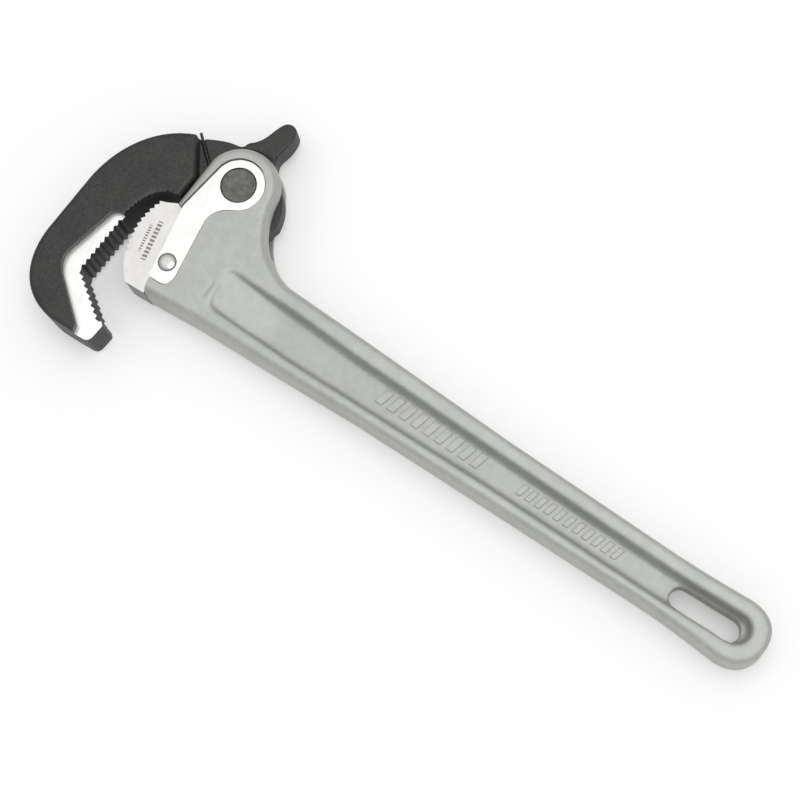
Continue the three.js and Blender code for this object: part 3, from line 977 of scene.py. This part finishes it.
# %% Turn the pin and the rivet
def turned(name, profile, centre=(0, 0), sides=96):
    """A solid of revolution; the profile is (radius, height) pairs that start and end on the axis."""
    bm = bmesh.new()
    rings = []
    for radius, z in profile:
        if radius < 1e-6:
            rings.append([bm.verts.new((*centre, z))])
        else:
            rings.append([bm.verts.new((*point, z)) for point in circle(radius, centre, sides)])
    for low, high in zip(rings, rings[1:]):
        for i in range(sides):
            j = (i + 1) % sides
            if len(low) == 1:
                bm.faces.new((low[0], high[j], high[i]))
            elif len(high) == 1:
                bm.faces.new((low[i], low[j], high[0]))
            else:
                bm.faces.new((low[i], low[j], high[j], high[i]))
    return new_object(name, bm)


def mirrored_profile(upper):
    """Both ends of a turned piece from the profile of its upper end."""
    return [(r, -z) for r, z in upper] + [(r, z) for r, z in reversed(upper)]


def pin_profile():
    edge, dish = 0.5, 0.12
    half, inner = PIN_HALF, PIN_RADIUS - edge
    end = [(0, half - dish), (3.0, half - dish), (inner - 0.5, half - 0.02), (inner, half)]
    angles = (0.4, 0.8, 1.2, math.pi / 2)
    corner = [(inner + edge * math.sin(a), half - edge + edge * math.cos(a)) for a in angles]
    return mirrored_profile(end + corner)


pin = turned("pivot_pin_turned", pin_profile())
notch = disc("pin_notch", 0.55, PIN_HALF - 0.7, PIN_HALF + 1, (PIN_RADIUS - 0.15, 0.5), 24)
tang_half = WIRE_RADIUS + CLEARANCE
tang_plan = [(0, -tang_half), (12, -tang_half), (12, tang_half), (0, tang_half)]
tang_hole = block("tang_hole", tang_plan, COIL_LOW - tang_half, COIL_LOW + tang_half)
tang_hole.data.transform(Matrix.Rotation(math.atan2(route[0][1], route[0][0]), 4, "Z"))
pin = milled(pin, [notch, tang_hole])
report(pin)


def rivet_profile():
    base = PLATE_TOP + 0.15
    rise = RIVET_TOP - base
    dome = [(RIVET_RADIUS * math.sin(a), base + rise * math.cos(a)) for a in np.linspace(0, math.pi / 2, 12)]
    return mirrored_profile([*dome, (RIVET_SHANK, base)])


rivet = turned("heel_rivet_dome", rivet_profile(), RIVET_CENTRE, 64)
report(rivet)

# %% [markdown]
# ## Finishes
# Every finish is built from the same few layers: a base metal, a fine grain that sets roughness
# and a little bump, a slow cloud that varies the colour as handling and tumbling do, and brighter
# edges where the piece has such edges, partly worn metal and partly a painted highlight. All
# patterns read Object coordinates, in metres, so they stay fixed to the metal when a piece moves.

# %% A small builder for finishes
class Finish:
    """A Principled metal with helpers for grain, clouds, wear and bump."""

    def __init__(self, name, metallic, coat=0.0):
        self.material = bpy.data.materials.new(name)
        self.material.use_nodes = True
        self.tree = self.material.node_tree
        self.shader = self.tree.nodes["Principled BSDF"]
        self.shader.inputs["Metallic"].default_value = metallic
        self.shader.inputs["Coat Weight"].default_value = coat
        self.shader.inputs["Coat Roughness"].default_value = 0.3
        self.place = self.tree.nodes.new("ShaderNodeTexCoord").outputs["Object"]

    def add(self, kind, links=(), **settings):
        return node(self.tree, kind, links, **settings)

    def stretched(self, scale, turn=0.0):
        """Object coordinates, turned about Z and squeezed, for grain that runs one way."""
        angles = (0, 0, math.radians(turn))
        spun = self.add("ShaderNodeMapping", [("Vector", self.place), ("Rotation", angles)]).outputs[0]
        return self.add("ShaderNodeMapping", [("Vector", spun), ("Scale", scale)]).outputs[0]

    def noise(self, millimetres, detail=4.0, vector=None, rough=0.55):
        """Noise whose blotches are about this many millimetres across."""
        links = [("Vector", vector or self.place), ("Scale", 1 / (millimetres * MM)), ("Detail", detail)]
        return self.add("ShaderNodeTexNoise", [*links, ("Roughness", rough)]).outputs["Fac"]

    def ramp(self, value, *stops):
        """Maps a value through (position, grey or colour) stops."""
        made = self.add("ShaderNodeValToRGB", [("Fac", value)])
        band = made.color_ramp
        while len(band.elements) < len(stops):
            band.elements.new(0.5)
        for element, (position, colour) in zip(band.elements, stops):
            element.position = position
            element.color = (*colour, 1) if isinstance(colour, tuple) else (colour, colour, colour, 1)
        return made.outputs["Color"]

    def mix(self, amount, first, second, blend="MIX"):
        links = [(0, amount), (6, first), (7, second)]
        return self.add("ShaderNodeMix", links, data_type="RGBA", blend_type=blend).outputs[2]

    def math(self, operation, *values):
        return number(self.tree, operation, *values)

    def times(self, *values):
        return self.math("MULTIPLY", *values)

    def edges(self, radius):
        """Bright where the mesh bulges out, on corners and rims: worn metal with a painted edge highlight."""
        pointiness = self.add("ShaderNodeNewGeometry").outputs["Pointiness"]
        return self.ramp(pointiness, (0.5 + radius, 0.0), (0.5 + 3 * radius, 1.0))

    def bumps(self, *layers):
        """Stacks bumps: each layer is (height, depth in millimetres)."""
        normal = None
        for height, depth in layers:
            links = [("Height", height), ("Distance", depth * MM), ("Strength", 1.0)]
            if normal is not None:
                links.append(("Normal", normal))
            normal = self.add("ShaderNodeBump", links).outputs[0]
        self.tree.links.new(normal, self.shader.inputs["Normal"])

    def wire(self, **sockets):
        for key, value in sockets.items():
            self.tree.links.new(value, self.shader.inputs[key.replace("_", " ")])
        return self.material


print("finish builder ready")

# %% [markdown]
# ### Cast aluminium
# The casting is shot blasted: a matt, even grey with a grain like fine sandpaper. It is lighter
# on its edges, where it is rubbed and where a highlight is painted, a little darker in slow
# clouds, and pitted here and there.

# %% Cast aluminium
def cast_aluminium():
    f = Finish("cast_aluminium", 0.5)
    sand = f.noise(0.6, 3, rough=0.6)
    fine = f.noise(0.22, 2)
    skin = f.noise(3.5, 4)
    cloud = f.noise(26, 4)
    pits = f.ramp(f.noise(1.1, 2, rough=0.4), (0.22, 0.0), (0.28, 1.0))
    grey = f.ramp(cloud, (0.3, (0.425, 0.435, 0.408)), (0.7, (0.465, 0.475, 0.447)))
    mottled = f.mix(0.35, grey, f.ramp(skin, (0.3, 0.42), (0.7, 0.58)), "OVERLAY")
    grainy = f.mix(0.45, mottled, f.ramp(sand, (0.25, 0.38), (0.75, 0.62)), "OVERLAY")
    # edges lightened: rubbed metal with a painted highlight on it
    worn_and_highlit = f.mix(f.times(f.edges(0.02), 0.35), grainy, (0.60, 0.61, 0.58, 1))
    pitted = f.mix(f.times(f.math("SUBTRACT", 1.0, pits), 0.5), worn_and_highlit, (0.33, 0.34, 0.32, 1))
    rough = f.ramp(sand, (0.2, 0.5), (0.8, 0.68))
    f.bumps((skin, 0.06), (sand, 0.035), (fine, 0.012), (pits, 0.02))
    return f.wire(Base_Color=pitted, Roughness=rough)


# %% [markdown]
# ### Milled and ground steel
# Cutters and grinding wheels leave parallel lines. The grain here is a noise squeezed across one
# direction, so it draws long fine scratches, and it drives roughness more than colour.

# %% Ground steel in several brightnesses
def ground(name, light, dark, turn, rough=(0.22, 0.36), metallic=1.0, line=0.05, stain=0.12):
    """The finish with its colour and roughness still loose, so that a mark can be laid over them."""
    f = Finish(name, metallic)
    across = 1 / line * 0.25
    lines = f.noise(1.0, 3, f.stretched((0.05, across, across), turn), 0.6)
    cloud = f.ramp(f.noise(7, 4), (0.35, 0.0), (0.75, 1.0))
    tone = f.mix(cloud, (*light, 1), (*[c * (1 - stain) for c in light], 1))
    scratched = f.mix(f.ramp(lines, (0.30, 0.45), (0.44, 0.0)), tone, (*dark, 1))
    f.bumps((lines, 0.0015))
    return f, scratched, f.ramp(lines, (0.25, rough[0]), (0.75, rough[1]))


def ground_steel(*recipe, **settings):
    f, colour, rough = ground(*recipe, **settings)
    return f.wire(Base_Color=colour, Roughness=rough)


print("ground steel ready")

# %% [markdown]
# ### Etched marks on the heel jaw
# Makers etch their marks on the ground side of the jaw. A plain graduation takes their place here:
# two lines of short dashes, cut by a box in the piece's own coordinates. The dark etch is a change
# of colour and roughness only, because acid hardly bites deeper than a hair.

# %% Ground heel jaw with a plain etched graduation
ETCH_CENTRE = (-19.6, -41.8)
ETCH_TURN = -79
ETCH_DARK = (0.13, 0.125, 0.12, 1)
# offset of the line, half its height, pitch, inked share of the pitch, half the line's length
DASH_LINES = ((1.5, 1.15, 1.9, 0.62, 9.5), (-1.9, 0.7, 1.3, 0.55, 6.5))


def etched_heel_steel():
    f, colour, rough = ground("ground_tool_steel", (0.735, 0.725, 0.70), (0.50, 0.49, 0.47), 78, (0.28, 0.40))
    centre = (ETCH_CENTRE[0] * MM, ETCH_CENTRE[1] * MM, 0)
    shifted = vector(f.tree, "SUBTRACT", (0, f.place), (1, centre))
    spin = (0, 0, math.radians(-ETCH_TURN))
    spun = f.add("ShaderNodeMapping", [("Vector", shifted), ("Rotation", spin)]).outputs[0]
    parts = f.add("ShaderNodeSeparateXYZ", [(0, spun)]).outputs

    def line_of_dashes(offset, half_height, pitch, dash, reach):
        off_line = f.math("ABSOLUTE", f.math("SUBTRACT", parts["Y"], offset * MM))
        inside = f.math("LESS_THAN", off_line, half_height * MM)
        along = f.math("LESS_THAN", f.math("ABSOLUTE", parts["X"]), reach * MM)
        # the added metre keeps the count positive on both sides of the centre
        beat = f.math("FRACT", f.times(f.math("ADD", parts["X"], 1.0), 1 / (pitch * MM)))
        return f.times(f.times(inside, along), f.math("LESS_THAN", beat, dash))

    lines = f.math("MAXIMUM", *[line_of_dashes(*line) for line in DASH_LINES])
    etched = f.mix(f.times(lines, 0.72), colour, ETCH_DARK)
    return f.wire(Base_Color=etched, Roughness=f.math("ADD", rough, f.times(lines, 0.3)))


print("etched dashes:", len(DASH_LINES), "lines")

# %% [markdown]
# ### Blacked forging
# The hook is blacked in hot oil. Forging scale under the oil leaves shallow orange peel and pale
# specks, and the high edges rub back to grey and carry a painted highlight.

# %% Blacked forging
def blacked_forging():
    f = Finish("blacked_forging", 0.35)
    peel = f.noise(1.7, 3)
    sand = f.noise(0.9, 4, rough=0.65)
    cloud = f.noise(14, 4)
    patches = f.ramp(f.noise(9, 3), (0.55, 0.0), (0.7, 1.0))
    dots = f.ramp(f.noise(0.7, 2, rough=0.5), (0.66, 0.0), (0.74, 1.0))
    tone = f.ramp(cloud, (0.3, (0.029, 0.029, 0.028)), (0.7, (0.041, 0.041, 0.039)))
    grainy = f.mix(0.9, tone, f.ramp(sand, (0.3, 0.22), (0.7, 0.80)), "OVERLAY")
    specks = f.times(f.times(dots, patches), 0.45)
    specked = f.mix(specks, grainy, (0.20, 0.20, 0.19, 1))
    # high edges lightened: metal rubbed back to grey, with a painted highlight on it
    rubbed_and_highlit = f.times(f.edges(0.02), f.ramp(cloud, (0.35, 0.1), (0.7, 0.5)))
    worn_and_highlit = f.mix(rubbed_and_highlit, specked, (0.14, 0.14, 0.135, 1))
    f.bumps((peel, 0.06), (sand, 0.04))
    return f.wire(Base_Color=worn_and_highlit, Roughness=f.ramp(sand, (0.2, 0.42), (0.8, 0.62)))


# %% [markdown]
# ### Turned pin, burnished rivet and drawn wire
# The pin's end is dark and scratched in every direction by handling. The rivet's dome is burnished
# by the snap that closed it. The wire keeps its drawing lines and a film of oil.

# %% Pin, rivet and wire
def scratched_pin():
    f = Finish("scratched_pin", 0.8)
    colour = f.ramp(f.noise(2.2, 4), (0.3, (0.085, 0.085, 0.083)), (0.7, (0.15, 0.15, 0.145)))
    for turn, reach in ((12, 0.28), (55, 0.25), (-38, 0.26), (97, 0.24)):
        hair = f.noise(1.0, 2, f.stretched((0.18, 5.5, 1.0), turn), 0.5)
        colour = f.mix(f.ramp(hair, (reach, 0.55), (reach + 0.05, 0.0)), colour, (0.34, 0.34, 0.33, 1))
    rough = f.ramp(f.noise(1.1, 3), (0.3, 0.34), (0.7, 0.55))
    f.bumps((f.noise(0.5, 3), 0.012))
    return f.wire(Base_Color=colour, Roughness=rough)


def burnished_rivet_painted_rim():
    """Bright on the crown, with painted shade darkening the dome towards its rim, where it would reflect the
    dim horizon.
    """
    f = Finish("burnished_rivet_painted_rim", 1.0)
    smear = f.noise(2.6, 2)
    crown = f.ramp(smear, (0.3, (0.62, 0.62, 0.61)), (0.7, (0.72, 0.72, 0.71)))
    flat = vector(f.tree, "MULTIPLY", (0, f.place), (1, (1, 1, 0)))
    centre = (RIVET_CENTRE[0] * MM, RIVET_CENTRE[1] * MM, 0)
    away = f.add("ShaderNodeVectorMath", [(0, flat), (1, centre)], operation="DISTANCE").outputs["Value"]
    # painted shade: the dome darkens towards its rim, where it would reflect the dim horizon
    painted_rim_shade = f.ramp(f.math("DIVIDE", away, RIVET_RADIUS * MM), (0.45, 0.0), (0.98, 0.85))
    colour = f.mix(painted_rim_shade, crown, (0.17, 0.17, 0.17, 1))
    f.bumps((f.noise(1.4, 1), 0.02))
    return f.wire(Base_Color=colour, Roughness=f.ramp(smear, (0.3, 0.10), (0.7, 0.20)))


def drawn_wire():
    f = Finish("oiled_wire", 0.85, coat=0.2)
    lines = f.noise(0.8, 3, f.stretched((0.3, 6, 6), 45))
    colour = f.ramp(lines, (0.3, (0.035, 0.035, 0.038)), (0.7, (0.075, 0.076, 0.08)))
    f.bumps((lines, 0.006))
    return f.wire(Base_Color=colour, Roughness=f.ramp(lines, (0.3, 0.28), (0.7, 0.45)))


CAST = cast_aluminium()
BLACKED = blacked_forging()
MILLED = ground_steel("milled_mouth", (0.95, 0.95, 0.935), (0.55, 0.55, 0.54), 80, (0.25, 0.4))
MACHINED = ground_steel("machined_aluminium", (0.60, 0.61, 0.58), (0.42, 0.42, 0.40), 15, (0.3, 0.45))
HEEL_STEEL = etched_heel_steel()
HEEL_TEETH_STEEL = ground_steel(
    "broached_tool_steel", (0.20, 0.20, 0.195), (0.10, 0.10, 0.10), 78, (0.3, 0.5), metallic=0.8
)
PLATE_STEEL = ground_steel(
    "bright_plate", (0.93, 0.93, 0.915), (0.74, 0.74, 0.73), 76, (0.2, 0.32), line=0.04, stain=0.07
)
PIN_STEEL = scratched_pin()
RIVET_STEEL = burnished_rivet_painted_rim()
WIRE_STEEL = drawn_wire()
print("finishes:", len(bpy.data.materials))

# %% [markdown]
# ## Which face gets which finish
# A machined face on a casting is a different finish from the cast skin round it. The finished mesh
# knows which is which by where a face lies and which way it looks, so a rule sorts the faces.

# %% Sort faces into finishes
def clothe(obj, materials, rule):
    """Gives each face the material that `rule(centre, normal)` picks, in the maker's millimetres."""
    obj.data.materials.clear()
    for material in materials:
        obj.data.materials.append(material)
    picks = [rule(face.center, face.normal) for face in obj.data.polygons]
    obj.data.polygons.foreach_set("material_index", picks)
    return {name: picks.count(i) for i, name in enumerate(m.name for m in materials)}


def casting_rule(centre, normal):
    in_recess = abs(abs(centre.z) - (PLATE_BASE - CLEARANCE)) < 0.03 and abs(normal.z) > 0.99
    in_bore = centre.xy.length < PIN_RADIUS + CLEARANCE + 0.05 and abs(normal.z) < 0.1
    in_slot = abs(abs(centre.z) - SLOT_HALF) < 0.02 and abs(normal.z) > 0.99 and centre.x < 30
    return 1 if in_recess or in_bore or in_slot else 0


def forging_rule(centre, normal):
    on_mill = abs(abs(centre.z) - (CAST_HALF - MILL_DEPTH)) < 0.03 and abs(normal.z) > 0.99
    in_bore = centre.xy.length < PIN_RADIUS + CLEARANCE + 0.05 and abs(normal.z) < 0.1
    return 1 if on_mill or in_bore else 0


def heel_rule(centre, normal):
    return 0 if abs(normal.z) > 0.5 else 1  # ground sides, broached edge


def one_finish(centre, normal):
    return 0


WARDROBE = [
    (casting, [CAST, MACHINED], casting_rule),
    (cast_marks, [CAST], one_finish),
    (forging, [BLACKED, MILLED], forging_rule),
    (heel, [HEEL_STEEL, HEEL_TEETH_STEEL], heel_rule),
    (plate_top, [PLATE_STEEL], one_finish),
    (plate_bottom, [PLATE_STEEL], one_finish),
    (pin, [PIN_STEEL], one_finish),
    (rivet, [RIVET_STEEL], one_finish),
    (spring, [WIRE_STEEL], one_finish),
]
for piece, materials, rule in WARDROBE:
    print(clothe(piece, materials, rule))

# %% [markdown]
# ## Onto the bench
# Now each piece goes from millimetres about the middle plane to metres on the bench, rides on its
# body, and takes the place of its CAD node.

# %% Hand the pieces to the frame
PIECES = [
    (casting, "handle", "handle", "cast_body"),
    (cast_marks, "handle", None, "cast_body"),
    (heel, "handle", "heel_jaw", "ground_jaw"),
    (plate_top, "handle", "side_plate_top", "plate_steel"),
    (plate_bottom, "handle", "side_plate_bottom", "plate_steel"),
    (pin, "handle", "pivot_pin", "pin_steel"),
    (rivet, "handle", "heel_rivet", "rivet_steel"),
    (forging, "hook", "hook_jaw", "forged_jaw"),
    (spring, "hook", "torsion_spring", "spring_steel"),
]
for piece, body, cad_node, finish in PIECES:
    flat_faces_first(onto_bench(piece))
    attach(piece, body)
    if cad_node:
        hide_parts(cad_node)
print("pieces on the bench:", len(PIECES))

# %% [markdown]
# ## The studio
# The wrench lies on a plain pale sheet under a large soft light, in a white room that is bright
# overhead and dim at the horizon. Level steel shows the ceiling and looks white; walls and domes
# show the horizon and fall away. The sheet glows a little, so that its shadows stay light.

# %% Floor, room and light
def pale_floor():
    bm = bmesh.new()
    bmesh.ops.create_grid(bm, x_segments=2, y_segments=2, size=12)
    floor = mesh_object("pale_floor", bm)
    paper = bpy.data.materials.new("pale_paper")
    paper.use_nodes = True
    shader = paper.node_tree.nodes["Principled BSDF"]
    looks = {
        "Base Color": (0.70, 0.70, 0.70, 1),
        "Roughness": 0.9,
        "Emission Color": (1, 1, 1, 1),
        "Emission Strength": 0.26,
    }
    for key, value in looks.items():
        shader.inputs[key].default_value = value
    floor.data.materials.append(paper)
    floor.location.z = -0.0002


def soft_light(name, place, aim, size, power):
    lamp = bpy.data.lights.new(name, "AREA")
    lamp.shape = "DISK"
    lamp.size = size
    lamp.energy = power
    obj = placed(name, lamp)
    obj.location = place
    obj.rotation_euler = (Vector(aim) - Vector(place)).to_track_quat("-Z", "Y").to_euler()


def bright_room(horizon, zenith):
    """A white room, brightest overhead, so that level faces are bright and walls and domes fall away."""
    world = bpy.data.worlds.new("bright_room")
    world.use_nodes = True
    tree = world.node_tree
    direction = tree.nodes.new("ShaderNodeTexCoord").outputs["Generated"]
    height = node(tree, "ShaderNodeSeparateXYZ", [(0, direction)]).outputs["Z"]
    level = node(tree, "ShaderNodeMapRange", [("Value", height), ("From Min", 0.0), ("From Max", 0.9),
                                              ("To Min", horizon), ("To Max", zenith)]).outputs[0]
    tree.links.new(level, tree.nodes["Background"].inputs["Strength"])
    tree.nodes["Background"].inputs["Color"].default_value = (1, 1, 1, 1)
    bpy.context.scene.world = world


pale_floor()
bright_room(horizon=0.16, zenith=1.05)
soft_light("overhead_softbox", place=(0.25, 0.05, 1.3), aim=(0.12, -0.03, 0), size=0.8, power=5)
print("floor, room and one soft light")

# %% [markdown]
# ## The camera
# It stands high above the grip, a little turned, with a long lens, so that the far end of the
# handle keeps nearly its true size. It is given by its place and the directions of its frame's
# sides.

# %% Place the camera
CAMERA_PLACE = Vector((0.29428, -0.15984, 0.83074))
CAMERA_RIGHT = Vector((0.81517, 0.57124, -0.09588))
CAMERA_UP = Vector((-0.53819, 0.80816, 0.23921))
LENS = 87.98

camera_data = bpy.data.cameras.new("camera")
camera_data.lens = LENS
camera_data.sensor_width = 36
camera_data.clip_start = 0.01
camera = placed("camera", camera_data)
back = CAMERA_RIGHT.cross(CAMERA_UP)
turn = Matrix((CAMERA_RIGHT, CAMERA_UP, back)).transposed().to_4x4()
camera.matrix_world = Matrix.Translation(CAMERA_PLACE) @ turn
bpy.context.scene.camera = camera
bpy.context.scene.view_settings.view_transform = "Standard"
print("lens", LENS, "mm at", tuple(round(v, 2) for v in CAMERA_PLACE))
